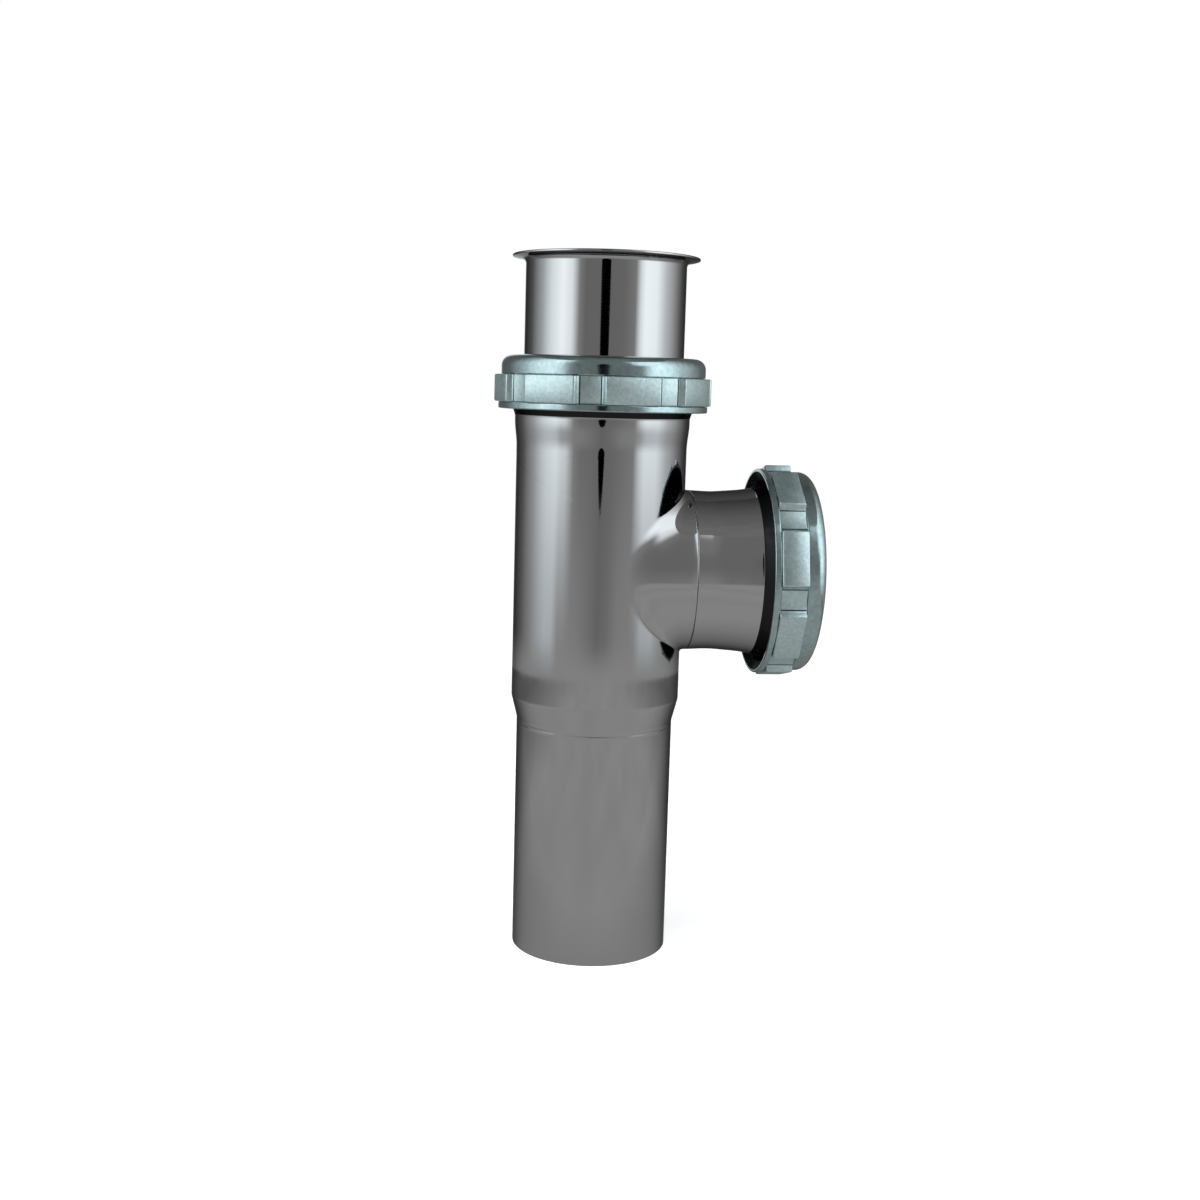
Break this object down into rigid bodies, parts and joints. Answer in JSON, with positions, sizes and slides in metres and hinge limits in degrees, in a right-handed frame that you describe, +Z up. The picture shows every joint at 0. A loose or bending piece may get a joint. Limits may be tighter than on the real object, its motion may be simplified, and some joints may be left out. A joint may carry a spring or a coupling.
{
  "type": "slip joint waste tee with flanged tailpiece",
  "caption": "Chromed tubular drain tee with a flanged tailpiece in its top slip joint, a side slip-joint inlet and a swaged plain tail.",
  "frame": {"origin": "centre of the tail's open lower end", "axes": "+Z up the straight run, from the tail to the flange; +X out along the branch; the tee stands upright on its tail"},
  "size_m": [0.0769, 0.052, 0.1679],
  "materials": {
    "chromed_tube": "bright chrome plate on thin brass tube",
    "chromed_tailpiece": "bright chrome plate on thin brass tube",
    "cast_zinc": "die-cast zinc with a clear blue passivation, bright rings and matt lug faces",
    "black_rubber": "moulded black rubber"
  },
  "bodies": {
    "tee": {"tee_body": "chromed_tube", "branch_socket": "chromed_tube"},
    "tailpiece": {"flanged_tailpiece": "chromed_tailpiece"},
    "top_washer": {"top_slip_washer": "black_rubber"},
    "top_nut": {"top_slip_nut": "cast_zinc"},
    "branch_washer": {"branch_slip_washer": "black_rubber"},
    "branch_nut": {"branch_slip_nut": "cast_zinc"}
  },
  "joints": [
    {"name": "tailpiece_slide", "type": "slide", "parent": "tee", "child": "tailpiece", "axis": [0, 0, 1], "range_m": [-0.015, 0.012]},
    {"name": "top_washer_lift", "type": "slide", "parent": "tee", "child": "top_washer", "axis": [0, 0, 1], "range_m": [0, 0.00664]},
    {"name": "top_nut_turn", "type": "hinge", "parent": "top_washer", "child": "top_nut", "pos_m": [0, 0, 0.1319], "axis": [0, 0, 1], "range_deg": [0, 1080]},
    {"name": "branch_washer_lift", "type": "slide", "parent": "tee", "child": "branch_washer", "axis": [1, 0, 0], "range_m": [0, 0.00664]},
    {"name": "branch_nut_turn", "type": "hinge", "parent": "branch_washer", "child": "branch_nut", "pos_m": [0.03845, 0, 0.0938], "axis": [1, 0, 0], "range_deg": [0, 1080]}
  ],
  "couplings": [
    {"joint": "top_washer_lift", "follows": "top_nut_turn", "m_per_rad": 0.00035152},
    {"joint": "branch_washer_lift", "follows": "branch_nut_turn", "m_per_rad": 0.00035152}
  ]
}
